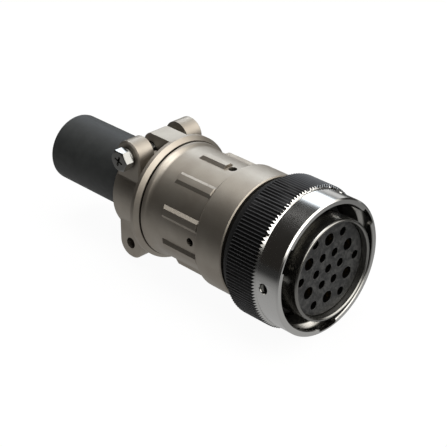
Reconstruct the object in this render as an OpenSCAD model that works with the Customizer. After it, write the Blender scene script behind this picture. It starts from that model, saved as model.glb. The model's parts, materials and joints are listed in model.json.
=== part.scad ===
// Bayonet circular connector plug with a straight cable clamp, shell size 28.
// +X points out of the mating face, +Z is up, and the origin is the centre of the mating face.
// Stations along the axis are worked out from the mating face towards the cable, as negative x.

/* [Plug shell] */
// Bore of the barrel round the insert
barrel_bore = 33; // [29:0.1:37]
// Wall of the barrel that enters the receptacle
barrel_wall = 1.2; // [1:0.1:1.5]
// Length of the barrel in front of its flange
barrel_len = 16.5; // [15:0.5:18]
// Height of the flange that the wave spring pushes, above the journal
flange_rise = 2.5; // [2.2:0.1:3]
// Thickness of that flange
flange_t = 2.5; // [2:0.1:3]
// Step out from the barrel's bore to the wider bore behind it
seat_step = 0.7; // [0.6:0.1:0.9]
// Wall of the journal that the coupling nut turns on
journal_wall = 1.6; // [1.5:0.1:2.2]
// Step down from the journal to the rear thread
thread_drop = 0.3; // [0.2:0.05:0.4]
// Length of the rear thread inside the backshell
thread_len = 8.8; // [7.8:0.2:10]

/* [Insert and contacts] */
// Depth of the insert's face below the mating face
insert_recess = 2.4; // [1.5:0.1:3]
// Distance of the insert's seat in front of the shell's flange
seat_lead = 0.5; // [0.3:0.1:0.8]
// Thickness of the insert's rear flange
insert_flange_t = 1.8; // [1.4:0.1:2.2]
// Thickness of the ring that holds the insert in
insert_ring_t = 1; // [0.8:0.1:1.2]
// Radius of the circle of power contacts
power_ring_r = 10.6; // [10.4:0.1:10.8]
// Radius of the inner circle of signal contacts
signal_inner_r = 5.65; // [5.4:0.05:5.9]
// Distance of the outer circle of signal contacts inside the barrel's bore
signal_outer_inset = 3.65; // [3.3:0.05:4]
// Diameter of a power cavity in the insert
power_cavity_d = 4.3; // [4.2:0.1:4.5]
// Diameter of a signal cavity in the insert
signal_cavity_d = 3.1; // [3:0.1:3.3]
// Outside diameter of a power contact
power_d = 3.8; // [3.6:0.1:3.9]
// Outside diameter of a signal contact
signal_d = 2.6; // [2.4:0.1:2.7]
// Bore of a power socket
power_bore = 2.4; // [2.2:0.1:2.6]
// Bore of a signal socket
signal_bore = 1.6; // [1.5:0.05:1.7]
// Depth of the sockets and of the crimp bores
socket_depth = 9; // [6:0.5:10]
// Depth of a contact's tip below the insert's face
contact_recess = 3.6; // [2:0.1:5]

/* [Coupling nut] */
// Radial clearance of the nut's bore round the shell's flange
nut_clearance = 0.4; // [0.3:0.05:0.6]
// Depth of the bayonet grooves
groove_depth = 1.2; // [1:0.1:1.4]
// Wall of the nut outside the bayonet grooves
nut_wall = 1; // [0.8:0.1:1.4]
// Wall of the narrower skirt that the grip ring is pressed on
skirt_wall = 1.25; // [1:0.05:1.6]
// Setback of the nut's rim behind the mating face
rim_setback = 2.4; // [1.5:0.1:3]
// Length of the polished nose behind the bayonet grooves
nose_margin = 1.15; // [0.8:0.05:2]
// Number of bayonet grooves
groove_count = 3; // [2:1:3]
// Width of a bayonet groove along the axis
groove_w = 3.8; // [3.4:0.1:4]
// Turn of the nut from entry to lock, in degrees
bayonet_sweep = 92; // [80:1:95]
// Width of an entry slot, in degrees
entry_w = 20; // [16:1:24]
// Distance of the lock holes behind the rim
lock_back = 5.95; // [5.6:0.05:6.2]
// Free height of the wave spring in the nut
spring_h = 1.9; // [1.6:0.1:2.2]
// Thickness of the nut's rear lip
lip_t = 3.2; // [2.6:0.1:4]
// Thickness of the ring that keeps the nut on the shell
nut_ring_t = 1; // [0.8:0.1:1.2]

/* [Grip ring] */
// Height of the knurl's crests above the polished nose
grip_rise = 1.1; // [0.9:0.05:1.4]
// Depth of the straight knurl
knurl_depth = 0.8; // [0.5:0.1:0.9]
// Number of knurl teeth
knurl_teeth = 130; // [100:1:144]
// Reach of the knurled band behind the nut's rear lip
knurl_tail = 0.35; // [0.2:0.05:1]
// Step down from the knurl's crests to the plain collar behind it
collar_drop = 1.7; // [1.5:0.1:2]
// Reach of the collar behind the nut's retaining ring
collar_cover = 2.7; // [2.4:0.1:3]

/* [Backshell] */
// Width of the seam between collar and backshell
seam_w = 1.4; // [1:0.1:1.8]
// Wall of the front band outside the thread
band_wall = 3.7; // [3:0.1:4.2]
// Length of the front band
band_len = 11.65; // [11:0.05:13]
// Wall of the body between the ribs
body_wall = 3.6; // [3:0.1:4]
// Length of the body behind the band
body_len = 26.25; // [24:0.25:29]
// Height of the ribs above the body
rib_rise = 1; // [0.8:0.1:1.3]
// Number of ribs round the body
rib_count = 10; // [6:2:12]
// Width of a rib at its top
rib_w = 2.2; // [1.6:0.1:3]
// Distance from the ribs' rear ends to the backshell's rear end
rib_gap = 9.25; // [8:0.25:10]
// Height of the rear bead above the body
bead_rise = 0.9; // [0.6:0.1:1.2]
// Diameter of the spanner holes
spanner_hole_d = 3; // [2.5:0.1:3.4]
// Depth of the spanner holes
spanner_hole_depth = 1.3; // [1:0.1:1.6]

/* [Cable clamp] */
// Thickness of the clamp base's rear disc
base_t = 3; // [2.6:0.1:3.4]
// Bore of the cable bushing
bushing_bore = 17; // [14:0.5:19]
// Wall of the cable bushing
bushing_wall = 4.05; // [3.5:0.05:4.6]
// Length of the bushing behind the clamp base
bushing_tail = 55.3; // [45:0.1:60]
// Wall of the saddles
saddle_wall = 4.55; // [4:0.05:5.2]
// Reach of the saddles behind the lugs
saddle_tail = 0.95; // [0.6:0.05:1.6]
// Distance of the screw axes outside the saddles' bore
screw_rise = 3.95; // [3.6:0.05:4.6]
// Distance of the screw axes behind the clamp base
screw_back = 8.9; // [8.6:0.1:9.2]
// Radius of the round lugs
lug_r = 5.8; // [5.4:0.1:6]
// Thickness of the lugs along the screws
lug_t = 7; // [6:0.1:8]
// Width of the tongues between the lugs
tongue_w = 8; // [7:0.2:8.4]
// Gap between a tongue and the lugs beside it, which shows the screw's thread
tongue_gap = 4; // [3:0.1:4.6]

/* [Screws] */
// Shank diameter of the clamp screws
screw_d = 4; // [3.6:0.1:4.2]
// Width of the hexagon heads across flats
hex_af = 7; // [6.4:0.1:7.2]
// Height of the heads
head_h = 3.3; // [2.8:0.1:3.6]
// Thickness of the spring washers
washer_t = 0.9; // [0.7:0.1:1.1]
// Distance of a screw's tip inside the threaded lug's face
tip_recess = 2.5; // [1:0.1:3]

/* [Hidden] */
$fn = 96;
fit_gap = 0.05;        // between pieces that are pressed or screwed together
bearing_gap = 0.1;     // between the nut and the shell that it turns on
free_gap = 0.3;        // between curved faces that move past each other
edge = 0.4;            // small chamfer on machined edges
over = 1;              // extra reach of a cutting tool

// Diameters of the shell, from its bore outwards
barrel_d = barrel_bore + 2 * barrel_wall;
rear_bore = barrel_bore + 2 * seat_step;
journal_d = rear_bore + 2 * journal_wall;
thread_d = journal_d - 2 * thread_drop;
flange_d = journal_d + 2 * flange_rise;
signal_outer_r = barrel_bore / 2 - signal_outer_inset;

// Diameters of the nut and its grip, from the shell outwards
nut_bore = flange_d + 2 * nut_clearance;
groove_d = nut_bore + 2 * groove_depth;
nut_d = groove_d + 2 * nut_wall;
grip_d = nut_d + 2 * grip_rise;
grip_bore = nut_bore + 2 * skirt_wall + 2 * fit_gap;
collar_d = grip_d - 2 * collar_drop;
lock_hole_d = groove_w - 0.1;

// Stations of the shell and nut, from the mating face backwards
flange_front = -barrel_len;
flange_back = flange_front - flange_t;
lip_front = flange_back - spring_h - fit_gap;
lip_back = lip_front - lip_t;
nut_ring_front = lip_back - fit_gap;
nut_ring_back = nut_ring_front - nut_ring_t;
collar_back = nut_ring_back - collar_cover;
rim_x = -rim_setback;
nose_back = rim_x - lock_back - groove_w / 2 - nose_margin;
knurl_back = lip_back - knurl_tail;
lock_x = rim_x - lock_back;
entry_angles = [for (i = [0:groove_count - 1]) 62 + i * 360 / groove_count];

// Stations of the insert and contacts
insert_face = -insert_recess;
seat_x = flange_front + seat_lead;
insert_back = seat_x - insert_flange_t;
insert_ring_back = insert_back - insert_ring_t;
shoulder_t = 0.9;
shoulder_step = 0.6;
shoulder_x = insert_back + shoulder_t;
contact_front = insert_face - contact_recess;

// Stations of the backshell
backshell_front = collar_back - seam_w;
shell_back = backshell_front - thread_len;
chamber_front = shell_back - fit_gap;
chamber_r = rear_bore / 2 - 0.8;
band_d = thread_d + 2 * band_wall;
body_d = 2 * chamber_r + 2 * body_wall;
rib_d = body_d + 2 * rib_rise;
bead_d = body_d + 2 * bead_rise;
band_back = backshell_front - band_len;
band_step = (band_d - body_d) / 2;
body_front = band_back - band_step;
backshell_back = body_front - body_len;
rib_back = backshell_back + rib_gap;
rib_len = body_front - rib_back;
seal_r = 0.85;
seal_seat = 2 * seal_r + 2 * fit_gap;
ferrule_len = 7;
ferrule_front = shell_back + ferrule_len;
grommet_back = ferrule_front + fit_gap;
contact_back = grommet_back + 2;
spanner_x = body_front - 2.6;

// Stations of the clamp
base_front = backshell_back - 0.25;
base_back = base_front - base_t;
plug_len = 7.6;                       // threaded spigot of the clamp base
spigot_r = chamber_r + 0.7;
spigot_bore = spigot_r - 1.3;
spigot_front = base_front + plug_len;
lip_disc_t = 1.2;
bushing_r = bushing_bore / 2 + bushing_wall;
bushing_flange_r = spigot_bore - 0.2;
chamber_lip_t = 2;
chamber_back = spigot_front + fit_gap + chamber_lip_t;
bushing_back = base_back - bushing_tail;
screw_x = base_back - screw_back;
saddle_bore_r = bushing_r + free_gap;
saddle_d = 2 * (saddle_bore_r + saddle_wall);
saddle_front = base_back - 0.25;
saddle_back = screw_x - lug_r - saddle_tail;
screw_z = saddle_bore_r + screw_rise;
tongue_top = screw_z + lug_r;
base_d = 2 * tongue_top;              // the tongues end flush with the base's rim
lug_in = tongue_w / 2 + tongue_gap;
lug_out = lug_in + lug_t;
split_y = tongue_w / 2 + free_gap;
head_side_r = screw_d / 2 + 0.25;
thread_side_r = screw_d / 2 + 0.06;
tongue_hole_r = screw_d / 2 + 0.5;
washer_r = screw_d / 2 + 1.6;
head_y = lug_out + washer_t + 2 * fit_gap;

function knurl_r(i) = grip_d / 2 - (i % 2) * knurl_depth;
ring_count = 6;                       // contacts on each of the three circles
ring_step = 360 / ring_count;
function ring_places(r, start) = [for (i = [0:ring_count - 1]) [r, start + i * ring_step]];
power_places = ring_places(power_ring_r, 0);
signal_places = concat(
    [[0, 0]],
    ring_places(signal_inner_r, ring_step / 2),
    ring_places(signal_outer_r, ring_step / 2));

// A turned piece: its outline is a list of [radius, station] points
module turned(outline) {
    rotate([0, 90, 0]) rotate_extrude() polygon(outline);
}

// A round bar or hole along X from station a back to station b
module bar(r, a, b) {
    translate([b, 0, 0]) rotate([0, 90, 0]) cylinder(r = r, h = a - b);
}

// A round bar or hole along Y from y = a to y = b
module cross_bar(r, a, b) {
    translate([0, b, 0]) rotate([90, 0, 0]) cylinder(r = r, h = b - a);
}

// Turns a shape that is drawn at the top round the axis, towards the near side
module at_angle(a) {
    rotate([a, 0, 0]) children();
}

// Puts a shape at each contact place
module at_place(place) {
    at_angle(place[1]) translate([0, 0, place[0]]) children();
}

module plug_shell() {
    color("lightgray") difference() {
        turned([
            [barrel_bore / 2 + edge, 0], [barrel_d / 2 - edge, 0], [barrel_d / 2, -edge],
            [barrel_d / 2, flange_front], [flange_d / 2 - edge, flange_front],
            [flange_d / 2, flange_front - edge], [flange_d / 2, flange_back],
            [journal_d / 2, flange_back], [journal_d / 2, nut_ring_front + fit_gap],
            [journal_d / 2 - 0.6, nut_ring_front + fit_gap],
            [journal_d / 2 - 0.6, nut_ring_back - fit_gap],
            [journal_d / 2, nut_ring_back - fit_gap], [journal_d / 2, collar_back + over],
            [thread_d / 2, collar_back + over], [thread_d / 2, shell_back + edge],
            [thread_d / 2 - edge, shell_back], [rear_bore / 2, shell_back],
            [rear_bore / 2, insert_ring_back - fit_gap],
            [rear_bore / 2 + 0.9, insert_ring_back - fit_gap],
            [rear_bore / 2 + 0.9, insert_back + fit_gap], [rear_bore / 2, insert_back + fit_gap],
            [rear_bore / 2, seat_x], [barrel_bore / 2, seat_x], [barrel_bore / 2, -edge]]);
        // keyway that clocks the insert
        at_angle(180) translate([seat_x, -1, barrel_bore / 2 - 0.1]) cube([seat_x / -2, 2, 0.6]);
    }
}

module front_insert() {
    skin_r = barrel_bore / 2 - fit_gap;
    color("dimgray") difference() {
        union() {
            turned([
                [0, insert_face], [skin_r - edge, insert_face], [skin_r, insert_face - edge],
                [skin_r, seat_x - fit_gap], [rear_bore / 2 - fit_gap, seat_x - fit_gap],
                [rear_bore / 2 - fit_gap, insert_back], [0, insert_back]]);
            at_angle(180) translate([seat_x, -0.9, barrel_bore / 2 - over])
                cube([seat_x / -2 - fit_gap, 1.8, over + 0.4]);
        }
        for (p = power_places) at_place(p) contact_cavity(power_cavity_d, power_d);
        for (p = signal_places) at_place(p) contact_cavity(signal_cavity_d, signal_d);
    }
}

// Cavity of one contact: the hole in front and the seat of its shoulder behind
module contact_cavity(cavity_d, contact_d) {
    bar(cavity_d / 2, insert_face + over, insert_back - over);
    bar(contact_d / 2 + shoulder_step + fit_gap, shoulder_x + fit_gap, insert_back - over);
}

// One turned contact with its socket in front and a narrower crimp bore behind
module contact(d, bore) {
    r = d / 2;
    crimp_r = bore / 2 - 0.2;
    color("gold") turned([
        [bore / 2 + 0.15, contact_front], [r - 0.15, contact_front], [r, contact_front - 0.3],
        [r, shoulder_x], [r + shoulder_step, shoulder_x],
        [r + shoulder_step, insert_back + fit_gap], [r, insert_back + fit_gap],
        [r, contact_back], [crimp_r, contact_back],
        [crimp_r, contact_back + socket_depth / 2], [0, contact_back + socket_depth / 2],
        [0, contact_front - socket_depth], [bore / 2, contact_front - socket_depth],
        [bore / 2, contact_front - 0.15]]);
}

module rear_grommet() {
    skin_r = rear_bore / 2 - 0.1;
    boss_r = signal_outer_r + signal_cavity_d / 2 + 0.4;
    color("darkslategray") difference() {
        turned([
            [0, insert_back - fit_gap], [boss_r, insert_back - fit_gap],
            [boss_r, insert_ring_back - fit_gap], [skin_r, insert_ring_back - fit_gap],
            [skin_r, grommet_back], [0, grommet_back]]);
        for (p = power_places) at_place(p)
            bar(power_d / 2 + fit_gap, insert_back + over, grommet_back - over);
        for (p = signal_places) at_place(p)
            bar(signal_d / 2 + fit_gap, insert_back + over, grommet_back - over);
    }
}

// Split ring in the shell's groove, behind the insert's flange
module insert_retaining_ring() {
    inner_r = signal_outer_r + signal_cavity_d / 2 + 0.6;
    color("silver") difference() {
        turned([
            [inner_r, insert_back - 0.01], [rear_bore / 2 + 0.8, insert_back - 0.01],
            [rear_bore / 2 + 0.8, insert_ring_back], [inner_r, insert_ring_back]]);
        at_angle(180) translate([insert_ring_back - over, -2, inner_r - over])
            cube([insert_ring_t + 2 * over, 4, 4]);
    }
}

// Ring that the backshell pushes forward to squeeze the grommet on the wires
module grommet_ferrule() {
    skin_r = rear_bore / 2 - 0.1;
    wall = 1.9;
    color("silver") turned([
        [skin_r - wall, ferrule_front], [skin_r, ferrule_front], [skin_r, shell_back],
        [skin_r - wall + edge, shell_back], [skin_r - wall, shell_back + edge]]);
}

// Flat gasket that the receptacle's rim lands on
module shell_seal() {
    seal_t = 1.3;
    inner_r = barrel_d / 2 + 0.9;
    color("black") turned([
        [inner_r, flange_front + fit_gap], [flange_d / 2 - 0.3, flange_front + fit_gap],
        [flange_d / 2 - 0.3, flange_front + seal_t - 0.3],
        [flange_d / 2 - 0.6, flange_front + seal_t], [inner_r, flange_front + seal_t]]);
}

// Three-wave spring washer: a flat strip whose height follows a cosine round the ring
spring_t = 0.5;
spring_steps = 48;
spring_in = journal_d / 2 + 0.4;
spring_out = flange_d / 2 - 0.5;
spring_lift = (spring_h - spring_t) / 2 - fit_gap;
spring_mid = flange_back - spring_h / 2;
function spring_x(i) = spring_mid + spring_lift * cos(3 * 360 * i / spring_steps);
function spring_point(i, r, side) = let (a = 360 * i / spring_steps)
    [spring_x(i) + side * spring_t / 2, r * cos(a), r * sin(a)];
spring_points = [for (i = [0:spring_steps - 1]) each [
    spring_point(i, spring_in, -1), spring_point(i, spring_out, -1),
    spring_point(i, spring_out, 1), spring_point(i, spring_in, 1)]];
spring_faces = [for (i = [0:spring_steps - 1]) for (k = [0:3])
    let (j = (i + 1) % spring_steps, m = (k + 1) % 4)
    each [[4 * i + k, 4 * i + m, 4 * j + m], [4 * i + k, 4 * j + m, 4 * j + k]]];
module wave_spring() {
    color("silver") polyhedron(points = spring_points, faces = spring_faces);
}

// Split ring in the shell's outer groove, behind the nut's rear lip
module nut_retaining_ring() {
    inner_r = journal_d / 2 - 0.55;
    outer_r = journal_d / 2 + 1.4;
    color("silver") difference() {
        turned([
            [inner_r, nut_ring_front - 0.01], [outer_r, nut_ring_front - 0.01],
            [outer_r, nut_ring_back + 0.01], [inner_r, nut_ring_back + 0.01]]);
        at_angle(180) translate([nut_ring_back - over, -1.5, inner_r - over])
            cube([nut_ring_t + 2 * over, 3, 4]);
    }
}

// Bayonet grooves: a straight entry slot, then straight milled steps that climb round the bore
// and a round pocket at the lock hole. A tube between two radii trims them to depth.
groove_steps = 6;
groove_start_x = rim_x - 3.4;
groove_in = nut_bore / 2 - 0.6;
groove_step_angle = bayonet_sweep / groove_steps;
groove_slope = atan((groove_start_x - lock_x) / (bayonet_sweep * PI / 180 * groove_d / 2));
module bayonet_groove() {
    step_len = groove_d * tan(groove_step_angle / 2) + 0.2;
    intersection() {
        difference() {
            bar(groove_d / 2, rim_x + over, lock_x - groove_w);
            bar(groove_in, rim_x + 2 * over, lock_x - 2 * groove_w);
        }
        union() {
            for (i = [0:groove_steps - 1]) let (t = (i + 0.5) / groove_steps)
                at_angle(-bayonet_sweep * t)
                    translate([groove_start_x + (lock_x - groove_start_x) * t, 0, 0])
                        rotate([0, 0, groove_slope])
                            translate([-groove_w / 2, -step_len / 2, groove_in - 2])
                                cube([groove_w, step_len, 6]);
            at_angle(-bayonet_sweep) translate([lock_x, 0, groove_in - 2])
                cylinder(d = groove_w, h = 6);
            entry_slot();
        }
    }
}

// Straight slot through the rim where a receptacle pin enters
module entry_slot() {
    half_w = groove_d / 2 * sin(entry_w / 2);
    translate([groove_start_x - groove_w / 2, -half_w, groove_in - 2])
        cube([rim_x + over - groove_start_x + groove_w / 2, 2 * half_w, 6]);
}

module coupling_nut() {
    rear_r = grip_bore / 2 - fit_gap;
    lip_r = journal_d / 2 + bearing_gap;
    color("gainsboro") difference() {
        turned([
            [nut_bore / 2 + 0.3, rim_x], [nut_d / 2 - 0.5, rim_x], [nut_d / 2, rim_x - 0.5],
            [nut_d / 2, nose_back], [rear_r, nose_back], [rear_r, lip_back],
            [lip_r, lip_back], [lip_r, lip_front], [nut_bore / 2, lip_front],
            [nut_bore / 2, rim_x - 0.3]]);
        for (a = entry_angles) {
            at_angle(a) bayonet_groove();
            at_angle(a - bayonet_sweep) translate([lock_x, 0, nut_bore / 2 - over])
                cylinder(d = lock_hole_d, h = nut_d / 2);
        }
    }
}

module grip_ring() {
    shoulder_r = journal_d / 2 + 1.7;
    tooth_step = 180 / knurl_teeth;
    color("black") difference() {
        union() {
            intersection() {
                translate([knurl_back, 0, 0]) rotate([0, 90, 0])
                    linear_extrude(height = nose_back - knurl_back)
                        polygon([for (i = [0:2 * knurl_teeth - 1])
                            [knurl_r(i) * cos(i * tooth_step), knurl_r(i) * sin(i * tooth_step)]]);
                turned([
                    [0, nose_back], [nut_d / 2, nose_back],
                    [grip_d / 2 + 0.1, nose_back - grip_rise - 0.1],
                    [grip_d / 2 + 0.1, knurl_back + 0.9], [grip_d / 2 - 1, knurl_back],
                    [0, knurl_back]]);
            }
            turned([
                [shoulder_r, knurl_back + over], [collar_d / 2, knurl_back + over],
                [collar_d / 2, knurl_back - 0.8], [collar_d / 2 - 0.9, collar_back + edge],
                [collar_d / 2 - 0.9 - edge, collar_back], [shoulder_r, collar_back]]);
        }
        bar(grip_bore / 2, nose_back + over, lip_back - fit_gap);
        bar(shoulder_r, nose_back, collar_back - over);
    }
}

// One rib, drawn at the top, long enough to be trimmed at both ends
module rib(length) {
    rise = rib_rise;
    foot = body_d / 2 - 0.6;
    top = rib_d / 2 + 0.4;
    side = rib_w / 2;
    translate([body_front - length, 0, 0]) rotate([90, 0, 90])
        linear_extrude(height = length + rise)
            polygon([[-side - rise - 0.6, foot], [-side + 0.4, top], [side - 0.4, top],
                     [side + rise + 0.6, foot]]);
}

module backshell() {
    fillet_steps = 6;
    cove_r = 3.2;
    bore_r = thread_d / 2 + fit_gap;
    cove_drop = (bead_d - body_d) / 2 - 0.2;
    cove_angle = acos(1 - cove_drop / cove_r);
    cove_front = backshell_back + 1.6 + cove_r * sin(cove_angle);
    cove = [for (i = [0:fillet_steps]) let (a = cove_angle * i / fillet_steps)
        [body_d / 2 + cove_r * (1 - cos(a)), cove_front - cove_r * sin(a)]];
    short_cut = spanner_x - 2.1;
    color("rosybrown") difference() {
        union() {
            turned(concat([
                [bore_r, backshell_front - seal_seat],
                [thread_d / 2 + 2 * seal_r + 0.1, backshell_front - seal_seat],
                [thread_d / 2 + 2 * seal_r + 0.1, backshell_front],
                [band_d / 2 - edge, backshell_front], [band_d / 2, backshell_front - edge],
                [band_d / 2, band_back], [body_d / 2, body_front]], cove, [
                [bead_d / 2, backshell_back + 0.9], [bead_d / 2, backshell_back + 0.4],
                [bead_d / 2 - 0.4, backshell_back],
                [spigot_r + fit_gap, backshell_back], [spigot_r + fit_gap, spigot_front + fit_gap],
                [saddle_bore_r, spigot_front + fit_gap], [saddle_bore_r, chamber_back],
                [chamber_r, chamber_back + chamber_r - saddle_bore_r],
                [chamber_r, chamber_front], [bore_r, chamber_front]]));
            intersection() {
                for (i = [0:rib_count - 1]) at_angle(i * 360 / rib_count) difference() {
                    rib(rib_len);
                    if (i % (rib_count / 2) == 0)
                        translate([short_cut, -rib_w * 2, 0]) cube([rib_len, rib_w * 4, rib_d]);
                }
                turned([
                    [body_d / 2 - 0.5, body_front + 0.5], [body_d / 2 + 0.6, body_front + 0.5],
                    [rib_d / 2, body_front], [rib_d / 2, rib_back + 1.4],
                    [body_d / 2 - 0.5, rib_back - 0.1]]);
            }
        }
        for (a = [0:90:270]) at_angle(a) translate([spanner_x, 0, body_d / 2 - spanner_hole_depth])
            cylinder(d = spanner_hole_d, h = 5);
    }
}

module backshell_seal() {
    color("black") rotate([0, 90, 0]) rotate_extrude()
        translate([thread_d / 2 + seal_r + fit_gap, backshell_front - seal_r - fit_gap])
            circle(r = seal_r, $fn = 32);
}

// Screwed ring with two tongues that stand between the lugs of the clamp halves
module clamp_base() {
    tongue_r = 5;
    tongue_x = screw_x + 1;
    tongue_in = saddle_bore_r + 0.4;
    color("tan") difference() {
        union() {
            turned([
                [spigot_bore, spigot_front], [spigot_r, spigot_front], [spigot_r, base_front],
                [base_d / 2 - 1.4, base_front], [base_d / 2, base_front - 1.4],
                [base_d / 2, base_back + 0.2], [base_d / 2 - 0.2, base_back],
                [saddle_bore_r, base_back], [saddle_bore_r, base_back + lip_disc_t],
                [spigot_bore, base_back + lip_disc_t]]);
            for (s = [0, 180]) at_angle(s) translate([0, -tongue_w / 2, 0]) {
                translate([tongue_x, 0, tongue_in])
                    cube([base_back - tongue_x + 0.5, tongue_w, tongue_top - 0.3 - tongue_in]);
                translate([tongue_x - tongue_r, 0, tongue_in])
                    cube([tongue_r + 0.1, tongue_w, tongue_top - tongue_r - tongue_in]);
                intersection() {
                    translate([tongue_x, 0, tongue_top - tongue_r]) cross_bar(tongue_r, 0, tongue_w);
                    translate([tongue_x - tongue_r, 0, tongue_in])
                        cube([2 * tongue_r, tongue_w, tongue_top - 0.3 - tongue_in]);
                }
            }
        }
        for (z = [-screw_z, screw_z]) translate([screw_x, 0, z])
            cross_bar(tongue_hole_r, -tongue_w, tongue_w);
    }
}

module cable_bushing() {
    round_r = 0.9;
    flange_back_x = base_back + lip_disc_t + fit_gap;
    tip = [for (i = [0:4]) let (a = 90 * i / 4)
        [bushing_r - round_r + round_r * cos(a), bushing_back + round_r - round_r * sin(a)]];
    color("black") turned(concat([
        [bushing_bore / 2 + 0.8, spigot_front], [bushing_flange_r, spigot_front],
        [bushing_flange_r, flange_back_x], [bushing_r, flange_back_x]],
        tip, [
        [bushing_bore / 2 + 0.5, bushing_back], [bushing_bore / 2, bushing_back + 0.5],
        [bushing_bore / 2, spigot_front - 0.8]]));
}

// Round lug on the near side at the top, with a chamfer round its outer face
module lug() {
    chamfer = 0.6;
    root_z = saddle_bore_r - 4.45;
    translate([screw_x, 0, screw_z]) {
        cross_bar(lug_r, -lug_out + chamfer, -lug_in);
        translate([0, -lug_out + chamfer, 0]) rotate([90, 0, 0])
            cylinder(r1 = lug_r, r2 = lug_r - chamfer, h = chamfer);
    }
    translate([screw_x, 0, root_z]) linear_extrude(height = screw_z - root_z)
        polygon([[-lug_r, -lug_in], [lug_r, -lug_in], [lug_r, chamfer - lug_out],
                 [lug_r - chamfer, -lug_out], [chamfer - lug_r, -lug_out],
                 [-lug_r, chamfer - lug_out]]);
}

// One die-cast clamp half on the near side; the far half is the same part turned over
module clamp_half() {
    saddle_r = saddle_d / 2;
    difference() {
        union() {
            difference() {
                turned([
                    [saddle_bore_r, saddle_front], [saddle_r, saddle_front],
                    [saddle_r, saddle_back + 0.8], [saddle_r - 0.8, saddle_back],
                    [saddle_bore_r, saddle_back]]);
                translate([saddle_back - over, -split_y, -saddle_r - over])
                    cube([saddle_front - saddle_back + 2 * over, saddle_r + split_y + over, 2 * saddle_r + 2 * over]);
            }
            lug();
            mirror([0, 0, 1]) lug();
        }
        bar(saddle_bore_r, saddle_front + over, saddle_back - over);
        translate([screw_x, 0, screw_z]) cross_bar(head_side_r, -lug_out - over, 0);
        translate([screw_x, 0, -screw_z]) cross_bar(thread_side_r, -lug_out - over, 0);
    }
}

module clamp_half_near() {
    color("tan") clamp_half();
}

module clamp_half_far() {
    color("tan") rotate([180, 0, 0]) clamp_half();
}

// Hexagon screw with a cross recess, its head on the near side at the top
module clamp_screw() {
    tip_y = lug_out - tip_recess;
    corner_r = hex_af / 2 / cos(30);
    color("silver") translate([screw_x, 0, screw_z]) difference() {
        union() {
            translate([0, -head_y, 0]) rotate([90, 0, 0]) intersection() {
                cylinder(r = corner_r, h = head_h, $fn = 6);
                union() {
                    cylinder(r = corner_r, h = head_h - 0.5);
                    translate([0, 0, head_h - 0.5])
                        cylinder(r1 = corner_r, r2 = corner_r - 0.8, h = 0.5);
                }
            }
            cross_bar(screw_d / 2, -head_y - 0.2, tip_y - 0.5);
            translate([0, tip_y - 0.5, 0]) rotate([-90, 0, 0])
                cylinder(r1 = screw_d / 2, r2 = screw_d / 2 - 0.5, h = 0.5);
        }
        for (turn = [0, 90]) translate([0, -head_y - head_h, 0]) rotate([0, turn + 20, 0])
            translate([-2, -over, -0.45]) cube([4, over + 1.7, 0.9]);
    }
}

module clamp_screw_top() {
    clamp_screw();
}

module clamp_screw_bottom() {
    rotate([180, 0, 0]) clamp_screw();
}

// Split spring washer under the head
module lock_washer() {
    color("silver") translate([screw_x, -lug_out - fit_gap, screw_z]) rotate([90, 0, 0])
        difference() {
            cylinder(r = washer_r, h = washer_t);
            translate([0, 0, -over]) cylinder(r = head_side_r, h = washer_t + 2 * over);
            rotate([0, 0, 200]) translate([0, -0.3, -over])
                cube([washer_r + over, 0.6, washer_t + 2 * over]);
        }
}

module lock_washer_top() {
    lock_washer();
}

module lock_washer_bottom() {
    rotate([180, 0, 0]) lock_washer();
}

module contact_power(i) {
    at_place(power_places[i - 1]) contact(power_d, power_bore);
}

module contact_signal(i) {
    at_place(signal_places[i - 1]) contact(signal_d, signal_bore);
}

plug_shell();
front_insert();
rear_grommet();
insert_retaining_ring();
grommet_ferrule();
contact_power(1);  // contact_power_1
contact_power(2);  // contact_power_2
contact_power(3);  // contact_power_3
contact_power(4);  // contact_power_4
contact_power(5);  // contact_power_5
contact_power(6);  // contact_power_6
contact_signal(1);  // contact_signal_1
contact_signal(2);  // contact_signal_2
contact_signal(3);  // contact_signal_3
contact_signal(4);  // contact_signal_4
contact_signal(5);  // contact_signal_5
contact_signal(6);  // contact_signal_6
contact_signal(7);  // contact_signal_7
contact_signal(8);  // contact_signal_8
contact_signal(9);  // contact_signal_9
contact_signal(10);  // contact_signal_10
contact_signal(11);  // contact_signal_11
contact_signal(12);  // contact_signal_12
contact_signal(13);  // contact_signal_13
shell_seal();
wave_spring();
nut_retaining_ring();
coupling_nut();
grip_ring();
backshell();
backshell_seal();
clamp_base();
cable_bushing();
clamp_half_near();
clamp_half_far();
clamp_screw_top();
clamp_screw_bottom();
lock_washer_top();
lock_washer_bottom();
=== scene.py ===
# %% [markdown]
# # A bayonet connector plug, dressed for the camera
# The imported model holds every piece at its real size. This lesson leaves the pieces where they are
# and gives them what a maker's finish gives: soft edges, threads, grain, plating and rubber.
# The axis of the plug runs along X, its mating face looks towards +X, and +Z is up.

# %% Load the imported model
import json
import math

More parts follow.
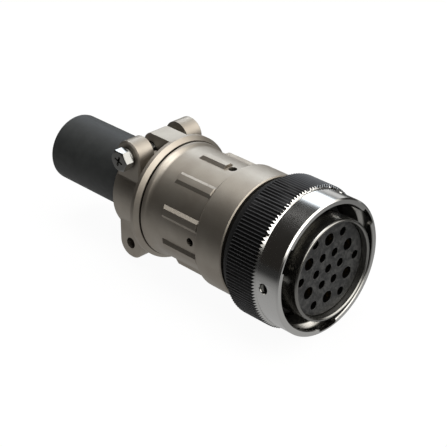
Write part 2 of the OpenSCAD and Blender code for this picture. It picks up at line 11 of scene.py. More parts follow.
import bpy
import bmesh
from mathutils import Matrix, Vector

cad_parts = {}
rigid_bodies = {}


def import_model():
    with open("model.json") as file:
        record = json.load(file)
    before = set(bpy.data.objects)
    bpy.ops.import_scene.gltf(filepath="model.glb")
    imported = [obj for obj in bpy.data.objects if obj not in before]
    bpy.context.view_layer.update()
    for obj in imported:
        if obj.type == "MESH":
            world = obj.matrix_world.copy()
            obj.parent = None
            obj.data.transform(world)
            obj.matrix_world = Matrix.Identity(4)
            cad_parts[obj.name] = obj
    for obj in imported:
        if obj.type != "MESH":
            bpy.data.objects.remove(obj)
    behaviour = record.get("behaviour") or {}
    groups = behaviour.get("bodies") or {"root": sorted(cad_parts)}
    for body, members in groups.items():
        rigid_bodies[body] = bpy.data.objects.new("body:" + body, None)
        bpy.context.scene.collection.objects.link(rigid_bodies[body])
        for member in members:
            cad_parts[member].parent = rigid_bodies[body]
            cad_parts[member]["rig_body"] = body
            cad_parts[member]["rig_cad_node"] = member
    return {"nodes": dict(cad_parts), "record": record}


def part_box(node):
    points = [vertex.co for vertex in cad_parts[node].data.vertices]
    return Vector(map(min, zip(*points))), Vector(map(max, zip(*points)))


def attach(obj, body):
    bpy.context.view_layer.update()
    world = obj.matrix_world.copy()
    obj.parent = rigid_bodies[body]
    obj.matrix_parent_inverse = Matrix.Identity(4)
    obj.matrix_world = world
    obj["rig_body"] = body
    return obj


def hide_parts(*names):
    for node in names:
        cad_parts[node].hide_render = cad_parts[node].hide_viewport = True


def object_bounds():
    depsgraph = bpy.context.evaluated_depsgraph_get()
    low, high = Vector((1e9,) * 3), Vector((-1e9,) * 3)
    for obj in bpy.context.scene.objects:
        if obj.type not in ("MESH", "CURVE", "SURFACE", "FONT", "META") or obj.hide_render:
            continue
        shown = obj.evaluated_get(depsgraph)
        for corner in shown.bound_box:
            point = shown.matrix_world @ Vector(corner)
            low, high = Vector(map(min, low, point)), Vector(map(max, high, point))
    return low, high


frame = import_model()
nodes = frame["nodes"]
cad_low, cad_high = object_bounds()
MM = 0.001
print("box of the plug, mm:", [round(v / MM, 2) for v in (*cad_low, *cad_high)])

# %% [markdown]
# Every operator acts on whatever is selected, so each step starts by letting go of everything and
# taking hold of one object. A finished piece keeps its origin at the world's centre.

# %% Taking hold of a piece
def deselect():
    """Leaves edit mode and lets go of every object."""
    if bpy.context.object and bpy.context.object.mode != "OBJECT":
        bpy.ops.object.mode_set(mode="OBJECT")
    bpy.ops.object.select_all(action="DESELECT")


def hold(piece):
    """Selects one object and makes it the active one."""
    deselect()
    piece.select_set(True)
    bpy.context.view_layer.objects.active = piece
    return piece


def apply_modifier(piece, kind, **settings):
    """Adds one modifier, sets it up and makes its result part of the mesh."""
    hold(piece)
    modifier = piece.modifiers.new(kind.title(), kind)
    for key, value in settings.items():
        setattr(modifier, key, value)
    bpy.ops.object.modifier_apply(modifier=modifier.name)
    return piece


print("packed pieces:", len(nodes))

# %% [markdown]
# **Soft edges.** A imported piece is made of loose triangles. A copy of it is merged, and its flat
# faces are joined again, so that a bevel can find the edges. The bevel is what catches a line of
# light along an edge: real castings and turned parts never end in a perfectly sharp corner. The
# shading is smooth across the round and breaks at true corners, and wide faces stay flat.

# %% Soft-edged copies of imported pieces
SHARP = math.radians(32)
CREASE = math.radians(34)
FLAT = math.radians(0.6)
SAME_PLACE = 0.002 * MM


def smooth(piece):
    """Smooth shading that breaks at the real corners and keeps wide faces flat beside a bevel."""
    hold(piece)
    bpy.ops.object.shade_smooth_by_angle(angle=CREASE)
    return apply_modifier(piece, "WEIGHTED_NORMAL", keep_sharp=True, weight=80)


def soft_copy(node, width, segments=2, shaping=None):
    """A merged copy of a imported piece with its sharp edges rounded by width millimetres."""
    hold(nodes[node])
    bpy.ops.object.duplicate()
    piece = bpy.context.object
    piece.name = node + "_finish"
    piece.parent = None
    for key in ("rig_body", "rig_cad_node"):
        del piece[key]
    bpy.ops.object.mode_set(mode="EDIT")
    bpy.ops.mesh.select_all(action="SELECT")
    bpy.ops.mesh.remove_doubles(threshold=SAME_PLACE)
    bpy.ops.mesh.dissolve_limited(angle_limit=FLAT)
    if shaping:
        shaping(piece)
    bpy.ops.object.mode_set(mode="OBJECT")
    if width:
        apply_modifier(piece, "BEVEL", width=width * MM, segments=segments,
                       limit_method="ANGLE", angle_limit=SHARP)
    return smooth(piece)


print("edges sharper than", round(math.degrees(SHARP)), "degrees are rounded")

# %% [markdown]
# A finished copy rides with the body that its imported piece moves with, hides that piece, and gets
# its material.

# %% A copy takes its piece's place
def body_of(node):
    """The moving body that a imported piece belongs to."""
    return next(b for b, members in frame["record"]["behaviour"]["bodies"].items()
                if node in members)


def stands_for(piece, node, material):
    """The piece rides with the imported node's body, takes its place and gets its material."""
    piece.data.materials.clear()
    piece.data.materials.append(material)
    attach(piece, body_of(node))
    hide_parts(node)
    print(node, "rides on", body_of(node), "with", len(piece.data.polygons), "faces")


# %% [markdown]
# **Materials.** Colours are written as on a screen, in sRGB hex, and turned to linear light by one
# function. One more function adds a shader node with its settings and its links.

# %% Colours and shader nodes
# A Mix node has one set of sockets for each kind of data. These are the ones for colours.
FACTOR, FIRST, SECOND, MIXED = 0, 6, 7, 2
# Noise that looks like the grain of a surface: a few finer layers, each a little weaker.
GRAIN = {"Detail": 3.0, "Roughness": 0.55}
FINE_GRAIN = {"Detail": 4.0, "Roughness": 0.55}


def colour(code):
    """A linear RGBA colour from an sRGB hex code."""
    parts = [int(code[i:i + 2], 16) / 255 for i in (1, 3, 5)]
    return [p / 12.92 if p <= 0.04045 else ((p + 0.055) / 1.055) ** 2.4 for p in parts] + [1.0]


def connect(node, links):
    """Fills a node's inputs. A value is a socket, a node's first output, or a constant."""
    for key, value in links.items():
        if isinstance(value, bpy.types.Node):
            value = value.outputs[0]
        if isinstance(value, bpy.types.NodeSocket):
            node.id_data.links.new(value, node.inputs[key])
        else:
            node.inputs[key].default_value = value
    return node


def add(tree, kind, links=None, stops=(), **settings):
    """Adds a shader node with its settings and links, and a ramp's (place, colour code) stops."""
    node = tree.nodes.new("ShaderNode" + kind)
    for key, value in settings.items():
        setattr(node, key, value)
    for number, (place, code) in enumerate(stops):
        points = node.color_ramp.elements
        if len(points) < len(stops):
            points.new(0.5)
        points[number].position = place
        points[number].color = colour(code)
    return connect(node, links or {})


def new_material(name, surface):
    """A material with a Principled surface; returns it, its node tree and the surface node."""
    material = bpy.data.materials.new(name)
    material.use_nodes = True
    shader = material.node_tree.nodes["Principled BSDF"]
    return material, material.node_tree, connect(shader, surface)


print("mid grey in linear light:", round(colour("#808080")[0], 3))

# %% [markdown]
# **Satin nickel.** The backshell and clamp are die-cast aluminium, tumbled and nickel plated. The
# plate keeps the casting's fine orange-peel, so light spreads softly, with a warm champagne tint.
# In tight corners and small holes the colour is darkened by painted shade, taken from an ambient
# occlusion node.

# %% Satin nickel plate on a casting
SATIN_NICKEL, tree, shader = new_material("satin_nickel_casting", {"Metallic": 1.0})
place = add(tree, "TexCoord").outputs["Object"]
cloud = add(tree, "TexNoise", {"Vector": place, "Scale": 1 / (9 * MM), **GRAIN})
tint = add(tree, "ValToRGB", {"Fac": cloud}, stops=[(0.35, "#A69E93"), (0.65, "#B0A99E")])
# Painted shade: an ambient occlusion node darkens the colour in corners, holes and seams.
air = add(tree, "AmbientOcclusion", {"Distance": 3 * MM}, samples=8).outputs["AO"]
painted_corner_shade = add(tree, "ValToRGB", {"Fac": air}, stops=[(0.3, "#4C4842"), (0.85, "#FFFFFF")])
shade = add(tree, "Mix", {FACTOR: 1.0, FIRST: tint, SECOND: painted_corner_shade},
            data_type="RGBA", blend_type="MULTIPLY").outputs[MIXED]
peel = add(tree, "TexNoise", {"Vector": place, "Scale": 1 / (0.35 * MM), **FINE_GRAIN})
rough = add(tree, "MapRange", {"Value": peel, "To Min": 0.42, "To Max": 0.54})
relief = add(tree, "Bump", {"Height": peel, "Distance": 0.012 * MM, "Strength": 1.0})
connect(shader, {"Base Color": shade, "Roughness": rough, "Normal": relief})
print(SATIN_NICKEL.name, "nodes:", len(tree.nodes))

# %% [markdown]
# ** Polished nickel.** The nut and the shell are turned from bar, plated and polished. What is left
# of the lathe are faint rings round the axis, so the pattern runs with the station along X, and
# with the radius on a face. Real tool marks are a few hundredths of a millimetre apart, too fine
# to show, so here they are 0.25 mm apart. Only the outside is polished: the bores are left as
# turned, so they are rougher, and their colour is a darker grey, which is painted shade.

# %% Polished nickel plate on turned bar
def axis_parts(tree, place):
    """The station along X and the radius round the X axis, both in metres."""
    parts = add(tree, "SeparateXYZ", {"Vector": place})
    flat = add(tree, "CombineXYZ", {"Y": parts.outputs["Y"], "Z": parts.outputs["Z"]})
    radius = add(tree, "VectorMath", {0: flat}, operation="LENGTH")
    return parts.outputs["X"], radius.outputs["Value"]


POLISHED_NICKEL, tree, shader = new_material("polished_nickel_turned", {"Metallic": 1.0})
place = add(tree, "TexCoord").outputs["Object"]
station, radius = axis_parts(tree, place)
both = add(tree, "Math", {0: station, 1: radius}, operation="ADD")
rings = add(tree, "TexNoise", {"W": both, "Scale": 1 / (0.25 * MM), "Detail": 2.0},
            noise_dimensions="1D")
smear = add(tree, "TexNoise", {"Vector": place, "Scale": 1 / (4 * MM), **GRAIN})
marks = add(tree, "Math", {0: rings, 1: smear}, operation="MULTIPLY")
skin = add(tree, "MapRange", {"Value": marks, "To Min": 0.15, "To Max": 0.25})
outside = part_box("coupling_nut")[1].z
# Painted shade: the bores get a darker grey colour; the same mask also makes them rougher.
bore_shade_and_dullness = add(tree, "MapRange", {"Value": radius, "From Min": outside - 2.1 * MM,
                               "From Max": outside - 1.8 * MM, "To Min": 1.0, "To Max": 0.0})
tint = add(tree, "ValToRGB", {"Fac": bore_shade_and_dullness}, stops=[(0.0, "#D6D5D2"), (1.0, "#91908C")])
duller = add(tree, "Math", {0: bore_shade_and_dullness, 1: 0.07}, operation="MULTIPLY")
rough = add(tree, "Math", {0: skin, 1: duller}, operation="ADD")
connect(shader, {"Base Color": tint, "Roughness": rough})
print(POLISHED_NICKEL.name, "polished past a radius of", round(outside / MM - 1.8, 1), "mm")

# %% [markdown]
# **Black anodising.** The grip ring is anodised black before its front chamfer is turned bright, so
# the knurl meets the bright cone in a row of teeth. The cone is found by its own equation: its
# radius grows by a millimetre for each millimetre back along the axis. Handling rubs the crests of
# the knurl a little grey, and the collar behind the knurl was left rougher.

# %% Black anodised grip ring with a bright chamfer
BLACK_ANODISED, tree, shader = new_material("black_anodised_knurl", {"Specular IOR Level": 0.36})
place = add(tree, "TexCoord").outputs["Object"]
station, radius = axis_parts(tree, place)
ring_low, ring_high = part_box("grip_ring")
cone = add(tree, "Math", {0: ring_high.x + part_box("coupling_nut")[1].y, 1: station},
           operation="SUBTRACT")
apart = add(tree, "Math", {0: cone, 1: radius}, operation="SUBTRACT")
off_cone = add(tree, "Math", {0: apart}, operation="ABSOLUTE")
on_cone = add(tree, "Math", {0: off_cone, 1: 0.07 * MM}, operation="LESS_THAN")
crest = add(tree, "MapRange", {"Value": radius, "From Min": ring_high.z - 0.22 * MM,
                               "From Max": ring_high.z - 0.02 * MM})
worn = add(tree, "ValToRGB", {"Fac": crest}, stops=[(0.0, "#0D0D0E"), (1.0, "#4A4A4C")])
shade = add(tree, "Mix", {FACTOR: on_cone, FIRST: worn, SECOND: colour("#D6D5D2")},
            data_type="RGBA").outputs[MIXED]
collar = add(tree, "Math", {0: station, 1: ring_low.x + 3.4 * MM}, operation="LESS_THAN")
duller = add(tree, "Math", {0: collar, 1: 0.22}, operation="MULTIPLY")
skin = add(tree, "MapRange", {"Value": on_cone, "To Min": 0.42, "To Max": 0.16})
rough = add(tree, "Math", {0: skin, 1: duller}, operation="ADD")
connect(shader, {"Base Color": shade, "Metallic": on_cone, "Roughness": rough})
print(BLACK_ANODISED.name, "crest at a radius of", round(ring_high.z / MM, 2), "mm")

# %% [markdown]
# **Rubber.** The bushing and the seals are compression-moulded rubber: dark, a little glossy where
# the mould was polished, and never quite even.

# %% Moulded rubber
def moulded(name, dark, light, rough):
    """A rubber whose tint drifts between two codes over 3 mm, with a 0.25 mm skin."""
    material, tree, shader = new_material(name, {"IOR": 1.52})
    place = add(tree, "TexCoord").outputs["Object"]
    cloud = add(tree, "TexNoise", {"Vector": place, "Scale": 1 / (3 * MM), **GRAIN})
    tint = add(tree, "ValToRGB", {"Fac": cloud}, stops=[(0.3, dark), (0.7, light)])
    skin = add(tree, "TexNoise", {"Vector": place, "Scale": 1 / (0.25 * MM), **FINE_GRAIN})
    sheen = add(tree, "MapRange", {"Value": skin, "To Min": rough - 0.05, "To Max": rough + 0.06})
    relief = add(tree, "Bump", {"Height": skin, "Distance": 0.008 * MM, "Strength": 1.0})
    connect(shader, {"Base Color": tint, "Roughness": sheen, "Normal": relief})
    print(name, "nodes:", len(tree.nodes))
    return material


BUSHING_RUBBER = moulded("bushing_rubber", "#1E2020", "#262828", 0.6)
SEAL_RUBBER = moulded("seal_rubber", "#151515", "#1B1B1B", 0.55)

# %% [markdown]
# ** Insert.** The insert is a hard plastic filled with glass and mineral, so its face is mottled:
# cloudy patches a millimetre or two across, and specks of filler that show as fine light and dark
# points. The edges of its holes are rubbed shiny by plugging and painted pale as a painted
# highlight, and behind them the cavities are painted nearly black as painted shade.

# %% Filled moulding of the insert
INSERT_MOULDING, tree, shader = new_material("insert_moulding", {"IOR": 1.55})
place = add(tree, "TexCoord").outputs["Object"]
station, radius = axis_parts(tree, place)
cloud = add(tree, "TexNoise", {"Vector": place, "Scale": 1 / (1.6 * MM), **GRAIN})
specks = add(tree, "TexNoise", {"Vector": place, "Scale": 1 / (0.45 * MM), "Detail": 2.0,
                                "Roughness": 0.55})
mottle = add(tree, "Math", {0: cloud, 1: specks}, operation="ADD")
half = add(tree, "Math", {0: mottle, 1: 0.5}, operation="MULTIPLY")
tint = add(tree, "ValToRGB", {"Fac": half},
           stops=[(0.44, "#0B0C0C"), (0.5, "#1A1A1A"), (0.56, "#343433")])
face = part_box("front_insert")[1].x
# Painted highlight: a band at the edges of the holes is painted paler.
lip = add(tree, "Math", {0: station, 1: face - 0.15 * MM, 2: 0.11 * MM}, operation="COMPARE")
painted_edge_highlight = add(tree, "Mix", {FACTOR: lip, FIRST: tint, SECOND: colour("#5A5A58")},
             data_type="RGBA").outputs[MIXED]
# Painted shade: behind the face the cavities are painted nearly black.
inside = add(tree, "Math", {0: station, 1: face - 0.4 * MM}, operation="LESS_THAN")
shade = add(tree, "Mix", {FACTOR: inside, FIRST: painted_edge_highlight, SECOND: colour("#060606")},
            data_type="RGBA").outputs[MIXED]
behind = add(tree, "Math", {0: station, 1: face - 0.02 * MM}, operation="LESS_THAN")
shine = add(tree, "Math", {0: behind, 1: 0.2}, operation="MULTIPLY")
skin = add(tree, "MapRange", {"Value": specks, "To Min": 0.38, "To Max": 0.5})
rough = add(tree, "Math", {0: skin, 1: shine}, operation="SUBTRACT")
relief = add(tree, "Bump", {"Height": specks, "Distance": 0.02 * MM, "Strength": 1.0})
connect(shader, {"Base Color": shade, "Roughness": rough, "Normal": relief})
print(INSERT_MOULDING.name, "face at x =", round(face / MM, 2), "mm")

# %% [markdown]
# **Springs and contacts.** The springs, washers and split rings are spring steel, oiled and grey.
# The contacts are gold plated over copper. Both keep a metal's own look: full metallic, with only
# the roughness changing.

# %% Springs and contacts
PLATE_GRAIN = 1 / (0.3 * MM)
PLATE_DEPTH = 0.004 * MM


def plated(name, tint, rough):
    """A metal of one tint, with a fine 0.3 mm grain in its roughness."""
    material, tree, shader = new_material(name, {"Metallic": 1.0, "Base Color": colour(tint)})
    place = add(tree, "TexCoord").outputs["Object"]
    grain = add(tree, "TexNoise", {"Vector": place, "Scale": PLATE_GRAIN, **GRAIN})
    skin = add(tree, "MapRange", {"Value": grain, "To Min": rough - 0.05, "To Max": rough + 0.07})
    relief = add(tree, "Bump", {"Height": grain, "Distance": PLATE_DEPTH, "Strength": 1.0})
    connect(shader, {"Roughness": skin, "Normal": relief})
    print(name, "nodes:", len(tree.nodes))
    return material


SPRING_STEEL = plated("spring_steel", "#8F8E8A", 0.34)
CONTACT_GOLD = plated("gold_plate", "#C9A24B", 0.28)

# %% [markdown]
# **Screws.** The clamp screws are cold-headed steel, bright zinc plated. The end of the head, where
# the punch struck it, stays dull and grey. It is found by its place along Y, on both screws.

# %% Bright zinc on the screws
SCREW_STEEL, tree, shader = new_material("bright_zinc_steel", {"Metallic": 1.0})
place = add(tree, "TexCoord").outputs["Object"]
across = add(tree, "SeparateXYZ", {"Vector": place}).outputs["Y"]
out = add(tree, "Math", {0: across}, operation="ABSOLUTE")
head_end = -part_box("clamp_screw_top")[0].y - 0.4 * MM
struck = add(tree, "Math", {0: out, 1: head_end}, operation="GREATER_THAN")
shade = add(tree, "Mix", {FACTOR: struck, FIRST: colour("#ACACA9"), SECOND: colour("#8E8E8B")},
            data_type="RGBA").outputs[MIXED]
grain = add(tree, "TexNoise", {"Vector": place, "Scale": PLATE_GRAIN, **GRAIN})
skin = add(tree, "MapRange", {"Value": grain, "To Min": 0.2, "To Max": 0.32})
duller = add(tree, "Math", {0: struck, 1: 0.15}, operation="MULTIPLY")
rough = add(tree, "Math", {0: skin, 1: duller}, operation="ADD")
relief = add(tree, "Bump", {"Height": grain, "Distance": PLATE_DEPTH, "Strength": 1.0})
connect(shader, {"Base Color": shade, "Roughness": rough, "Normal": relief})
print(SCREW_STEEL.name, "head ends", round(head_end / MM + 0.4, 2), "mm from the middle")

# %% [markdown]
# **Shaping two of the copies.** The backshell's four spanner holes go on to the depth of a real
# drilled hole, so that they look black. On the shell, the small chamfer at the front of the barrel
# becomes a wide round, as a polisher leaves it. The corners are picked by their place.

# %% Deeper spanner holes and a round nose
TINY = 0.03 * MM
SPANNER_X = -45.75 * MM
SPANNER_R = 1.6 * MM
SPANNER_FLOOR = 18.7 * MM
DRILLED_FLOOR = 17.2 * MM
BARREL_R = 17.7 * MM
CHAMFER = 0.4 * MM
NOSE_ROUND = 0.74 * MM


def pick(piece, wanted):
    """In edit mode, selects the corners whose place passes the test, and counts them."""
    bpy.ops.mesh.select_mode(type="VERT")
    bpy.ops.mesh.select_all(action="DESELECT")
    mesh = bmesh.from_edit_mesh(piece.data)
    count = 0
    for corner in mesh.verts:
        if wanted(corner.co):
            corner.select = True
            count += 1
    mesh.select_flush(True)
    bmesh.update_edit_mesh(piece.data)
    return count


def around(co):
    """The distance of a corner from the plug's axis."""
    return math.hypot(co.y, co.z)


def deep_holes(piece):
    """Takes the four spanner holes on to their full depth."""
    deep = DRILLED_FLOOR / SPANNER_FLOOR
    floors = 0
    for axis, value in ((1, (1, deep, 1)), (2, (1, 1, deep))):
        floors += pick(piece, lambda co: abs(co.x - SPANNER_X) < SPANNER_R
                       and abs(abs(co[axis]) - SPANNER_FLOOR) < TINY)
        bpy.ops.transform.resize(value=value, center_override=(0, 0, 0))
    print("corners on the hole floors:", floors)


def round_nose(piece):
    """Makes a wide round of the small chamfer on the barrel's outer rim."""
    pick(piece, lambda co: abs(co.x + CHAMFER) < TINY and around(co) > BARREL_R - TINY)
    bpy.ops.transform.translate(value=(-CHAMFER, 0, 0))
    out = BARREL_R / (BARREL_R - CHAMFER)
    rim = pick(piece, lambda co: co.x > -TINY and around(co) > BARREL_R - CHAMFER - TINY)
    bpy.ops.transform.resize(value=(1, out, out), center_override=(0, 0, 0))
    bpy.ops.mesh.bevel(offset=NOSE_ROUND, segments=5, affect="EDGES")
    print("corners on the barrel's rim:", rim)


# %% [markdown]
# **The bodies.** Castings get rounder edges than turned pieces, because their corners are rounded
# in the die and again in the tumbler. The knurl keeps its crisp teeth, and the bushing its clean
# moulded end.

# %% Castings, turned pieces and mouldings
# For each piece: the edge's round in millimetres, its segments, the finish and any shaping.
DRESSED = {
    "backshell": (0.3, 3, SATIN_NICKEL, deep_holes),
    "clamp_base": (0.28, 3, SATIN_NICKEL, None),
    "clamp_half_near": (0.35, 3, SATIN_NICKEL, None),
    "clamp_half_far": (0.35, 3, SATIN_NICKEL, None),
    "coupling_nut": (0.14, 2, POLISHED_NICKEL, None),
    "plug_shell": (0.06, 2, POLISHED_NICKEL, round_nose),
    "grip_ring": (0, 2, BLACK_ANODISED, None),
    "front_insert": (0.24, 2, INSERT_MOULDING, None),
    "cable_bushing": (0, 2, BUSHING_RUBBER, None),
    "lock_washer_top": (0.08, 2, SPRING_STEEL, None),
    "lock_washer_bottom": (0.08, 2, SPRING_STEEL, None),
}
for node, (width, segments, finish, shaping) in DRESSED.items():
    stands_for(soft_copy(node, width, segments, shaping), node, finish)

# %% [markdown]
# **Screws with real threads.** An M4 thread climbs 0.7 mm for each turn. A small triangle is
# wound round the screw's axis by a Screw modifier, which makes a ridge with a thread's section. The
# ridge's two ends are closed, so that it is a solid of its own.

# %% A helical ridge
PITCH = 0.7 * MM
CREST = 2.0 * MM
ROOT = 1.6 * MM
RIDGE_R = 0.36 * MM
TURN_STEPS = 24


def threaded_ridge(axis_x, axis_z, start, turns):
    """A helical ridge round an axis along Y, wound from start towards +Y."""
    deselect()
    bpy.ops.mesh.primitive_circle_add(vertices=3, radius=RIDGE_R,
                                      location=(axis_x, start, axis_z),
                                      rotation=(0, math.radians(90), math.radians(90)))
    ridge = bpy.context.object
    bpy.ops.object.transform_apply(location=False, rotation=True, scale=False)
    bpy.ops.object.mode_set(mode="EDIT")
    bpy.ops.mesh.select_all(action="SELECT")
    top = max(corner.co.z for corner in ridge.data.vertices)
    bpy.ops.transform.translate(value=(0, 0, CREST - top))
    bpy.ops.object.mode_set(mode="OBJECT")
    apply_modifier(ridge, "SCREW", axis="Y", angle=math.radians(360), screw_offset=PITCH,
                   iterations=turns, steps=TURN_STEPS, render_steps=TURN_STEPS,
                   use_merge_vertices=False)
    bpy.ops.object.mode_set(mode="EDIT")
    bpy.ops.mesh.select_all(action="SELECT")
    bpy.ops.mesh.remove_doubles(threshold=SAME_PLACE / 2)
    bpy.ops.mesh.select_all(action="DESELECT")
    bpy.ops.mesh.select_mode(type="EDGE")
    bpy.ops.mesh.select_non_manifold()
    bpy.ops.mesh.fill()
    bpy.ops.mesh.select_all(action="SELECT")
    bpy.ops.mesh.normals_make_consistent(inside=False)
    bpy.ops.object.mode_set(mode="OBJECT")
    bpy.ops.object.transform_apply(location=True, rotation=False, scale=False)
    print("faces on the ridge:", len(ridge.data.polygons))
    return ridge


# %% [markdown]
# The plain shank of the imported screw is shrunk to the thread's root, and the ridge is joined to it.
# The washer under the head is round the same axis, so its box gives the axis's place.

# %% The top clamp screw
THREAD_START = -9 * MM
PLAIN_TIP = 1.2 * MM
washer_low, washer_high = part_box("lock_washer_top")
screw_x = (washer_low.x + washer_high.x) / 2
screw_z = (washer_low.z + washer_high.z) / 2
screw = soft_copy("clamp_screw_top", 0)
hold(screw)
bpy.ops.object.mode_set(mode="EDIT")
shank = pick(screw, lambda co: co.y > washer_low.y
             and math.hypot(co.x - screw_x, co.z - screw_z) < CREST + 0.05 * MM)
bpy.ops.transform.resize(value=(ROOT / CREST, 1, ROOT / CREST),
                         center_override=(screw_x, 0, screw_z))
bpy.ops.object.mode_set(mode="OBJECT")
apply_modifier(screw, "BEVEL", width=0.06 * MM, segments=2, limit_method="ANGLE",
               angle_limit=SHARP)
thread_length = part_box("clamp_screw_top")[1].y - PLAIN_TIP - THREAD_START
turns = int(thread_length / PITCH)
ridge = threaded_ridge(screw_x, screw_z, THREAD_START, turns)
hold(screw)
ridge.select_set(True)
bpy.ops.object.join()
smooth(screw)
print("shank corners:", shank, " thread turns:", turns)

# %% [markdown]
# The second screw is the same one, turned half a turn about the plug's axis: a scale of -1 on both
# Y and Z does that without turning the shape inside out.

# %% The bottom clamp screw
hold(screw)
bpy.ops.object.duplicate()
other = bpy.context.object
other.name = "clamp_screw_bottom_finish"
bpy.ops.object.mode_set(mode="EDIT")
bpy.ops.mesh.select_all(action="SELECT")
bpy.ops.transform.resize(value=(1, -1, -1), center_override=(0, 0, 0))
bpy.ops.object.mode_set(mode="OBJECT")
stands_for(screw, "clamp_screw_top", SCREW_STEEL)
stands_for(other, "clamp_screw_bottom", SCREW_STEEL)

# %% [markdown]
# **Pieces that stay as they are.** What is deep inside, and the contacts down in their cavities,
# only need a material.

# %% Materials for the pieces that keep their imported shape
FINISHES = {
    "rear_grommet": SEAL_RUBBER, "shell_seal": SEAL_RUBBER, "backshell_seal": SEAL_RUBBER,
    "insert_retaining_ring": SPRING_STEEL, "nut_retaining_ring": SPRING_STEEL,
    "wave_spring": SPRING_STEEL, "grommet_ferrule": SATIN_NICKEL,
}
plain = 0
for name, node in nodes.items():
    finish = CONTACT_GOLD if name.startswith("contact_") else FINISHES.get(name)
    if finish:
        node.data.materials.clear()
        node.data.materials.append(finish)
        plain += 1
print("pieces that keep their shape:", plain)

# %% [markdown]
# **Floor.** The plug lies on a pale sheet, a hair below its lowest point. The eye sees the sheet
# nearly white, with a soft shadow on it, and glass would too. Metal sees another sheet: only the
# part close by is lit, and further off it falls into the dark of the room, as a sheet on a studio
# table does. That fall is what shapes polished metal. Far behind the plug the sheet rises into the
# light again as its backdrop.

# %% What metal sees of the sheet
middle = (cad_low + cad_high) / 2
SHEET_SIZE = 8
SHEET_GAP = 0.4 * MM
deselect()
bpy.ops.mesh.primitive_plane_add(size=SHEET_SIZE, location=(middle.x, 0, cad_low.z - SHEET_GAP))
floor = bpy.context.object
floor.name = "floor"
paper, tree, shader = new_material("pale_paper", {"Roughness": 0.9,
                                                  "Base Color": colour("#F4F4F2")})
spot = add(tree, "TexCoord").outputs["Object"]
oval = add(tree, "VectorMath", {0: spot, 1: (0.45, 1, 1)}, operation="MULTIPLY")
far = add(tree, "VectorMath", {0: oval}, operation="LENGTH").outputs["Value"]
lit = add(tree, "MapRange", {"Value": far, "From Min": 20 * MM, "From Max": 160 * MM,
                             "To Min": 0.44, "To Max": 0.03}, interpolation_type="SMOOTHSTEP")
depth = add(tree, "SeparateXYZ", {"Vector": spot}).outputs["Y"]
rising = add(tree, "MapRange", {"Value": depth, "From Min": 250 * MM, "From Max": 1200 * MM,
                                "To Min": 0.0, "To Max": 0.75})
mirrored = add(tree, "Math", {0: lit, 1: rising}, operation="ADD")
print("sheet at z =", round(floor.location.z / MM, 2), "mm")

# %% [markdown]
# The Light Path node tells what a ray is for. For the eye and for glass, 95 % of the sheet is a
# white glow, and the 5 % that is still paper keeps the shadow. A mirror ray sees the glow made
# above. All other rays see plain paper, so the glow lights no matt surface.

# %% A sheet that is white to the eye
EYE_SHARE = 0.95
path = add(tree, "LightPath").outputs
eye = add(tree, "Math", {0: path["Is Camera Ray"], 1: path["Is Transmission Ray"]},
          operation="MAXIMUM")
shown = add(tree, "Math", {0: eye, 1: mirrored}, operation="MAXIMUM")
glow = add(tree, "Emission", {"Color": [1, 1, 1, 1], "Strength": shown})
direct = add(tree, "Math", {0: eye, 1: EYE_SHARE}, operation="MULTIPLY")
share = add(tree, "Math", {0: direct, 1: path["Is Glossy Ray"]}, operation="ADD", use_clamp=True)
sheet = add(tree, "MixShader", {0: share, 1: shader, 2: glow})
connect(tree.nodes["Material Output"], {"Surface": sheet})
paper.cycles.emission_sampling = "NONE"
floor.data.materials.append(paper)
print(paper.name, "nodes:", len(tree.nodes))

# %% [markdown]
# **Room.** The room is dark, with four wide soft lights: one behind the plug, one overhead, one on
# the right and one at the front right. They are painted into the world by direction: each is
# brightest at its middle and fades to nothing, so that polished metal shows a soft band and no hard
# rectangle.

# %% Painted lights
world = bpy.data.worlds.new("studio")
bpy.context.scene.world = world
world.use_nodes = True
tree = world.node_tree
facing = add(tree, "TexCoord").outputs["Generated"]
ROOM = (0.022, 0.020, 0.018)
# For each light: azimuth from +X and height, the angle that it fills and the one where it ends, all
# in degrees, and its strength in red, green and blue.
LIGHTS = {
    "behind": (136, 29.5, 2, 16.2, (3.7, 4.0, 4.35)),
    "overhead": (165, 85, 8, 28, (5.9, 5.9, 5.9)),
    "right": (32, 44, 8, 40, (2.8, 2.74, 2.64)),
    "front right": (-20, 34, 6, 30, (3.0, 2.94, 2.8)),
}


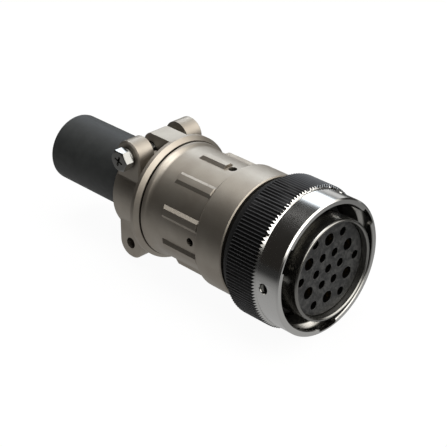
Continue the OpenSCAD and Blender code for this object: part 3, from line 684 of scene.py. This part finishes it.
def painted_light(azimuth, height, inner, outer, tint):
    """A soft round patch of light in the sky."""
    turn, lift = math.radians(azimuth), math.radians(height)
    aim = (math.cos(turn) * math.cos(lift), math.sin(turn) * math.cos(lift), math.sin(lift))
    near = add(tree, "VectorMath", {0: facing, 1: aim}, operation="DOT_PRODUCT").outputs["Value"]
    fade = add(tree, "MapRange", {"Value": near, "From Min": math.cos(math.radians(outer)),
                                  "From Max": math.cos(math.radians(inner))},
               interpolation_type="SMOOTHSTEP")
    return add(tree, "VectorMath", {0: tint, "Scale": fade}, operation="SCALE")


light = ROOM
for patch in LIGHTS.values():
    light = add(tree, "VectorMath", {0: painted_light(*patch), 1: light}, operation="ADD")
room = connect(tree.nodes["Background"], {"Color": light})
print("painted lights:", ", ".join(LIGHTS))

# %% [markdown]
# The eye and glass see white all round. Metal sees that white only low behind the plug, where the
# backdrop stands, since a room that is white on all sides would wash out the dark bands of the nut.

# %% A room that is white to the eye
BACKDROP = (126, 0, 5, 17, (0.77, 0.77, 0.77))
path = add(tree, "LightPath").outputs
eye = add(tree, "Math", {0: path["Is Camera Ray"], 1: path["Is Transmission Ray"]},
          operation="MAXIMUM")
mirrored = add(tree, "Math", {0: path["Is Glossy Ray"], 1: painted_light(*BACKDROP)},
               operation="MULTIPLY")
seen = add(tree, "Math", {0: eye, 1: mirrored}, operation="ADD", use_clamp=True)
white = add(tree, "Background", {"Color": [1, 1, 1, 1], "Strength": 1.0})
sky = add(tree, "MixShader", {0: seen, 1: room, 2: white})
connect(tree.nodes["World Output"], {"Surface": sky})
print(world.name, "nodes:", len(tree.nodes))

# %% [markdown]
# **Camera.** A long lens from the front right, a little above, as for a catalogue picture. It
# stands half a metre from the plug, so the far end looks only a little smaller than the near one.

# %% Camera
AZIMUTH = math.radians(45.46)
ELEVATION = math.radians(28.98)
DISTANCE = 487.4 * MM
LENS, SENSOR = 115.1, 36
target = Vector((middle.x + 13.8 * MM, 0, -2.4 * MM))
back = Vector((math.sin(AZIMUTH) * math.cos(ELEVATION),
               -math.cos(AZIMUTH) * math.cos(ELEVATION), math.sin(ELEVATION)))
deselect()
bpy.ops.object.camera_add(location=target + back * DISTANCE)
camera = bpy.context.object
camera.data.lens = LENS
camera.data.sensor_width = SENSOR
camera.rotation_euler = (-back).to_track_quat("-Z", "Y").to_euler()
bpy.context.scene.camera = camera
bpy.context.scene.view_settings.view_transform = "Standard"
print("camera, mm:", [round(v / MM, 1) for v in camera.location])
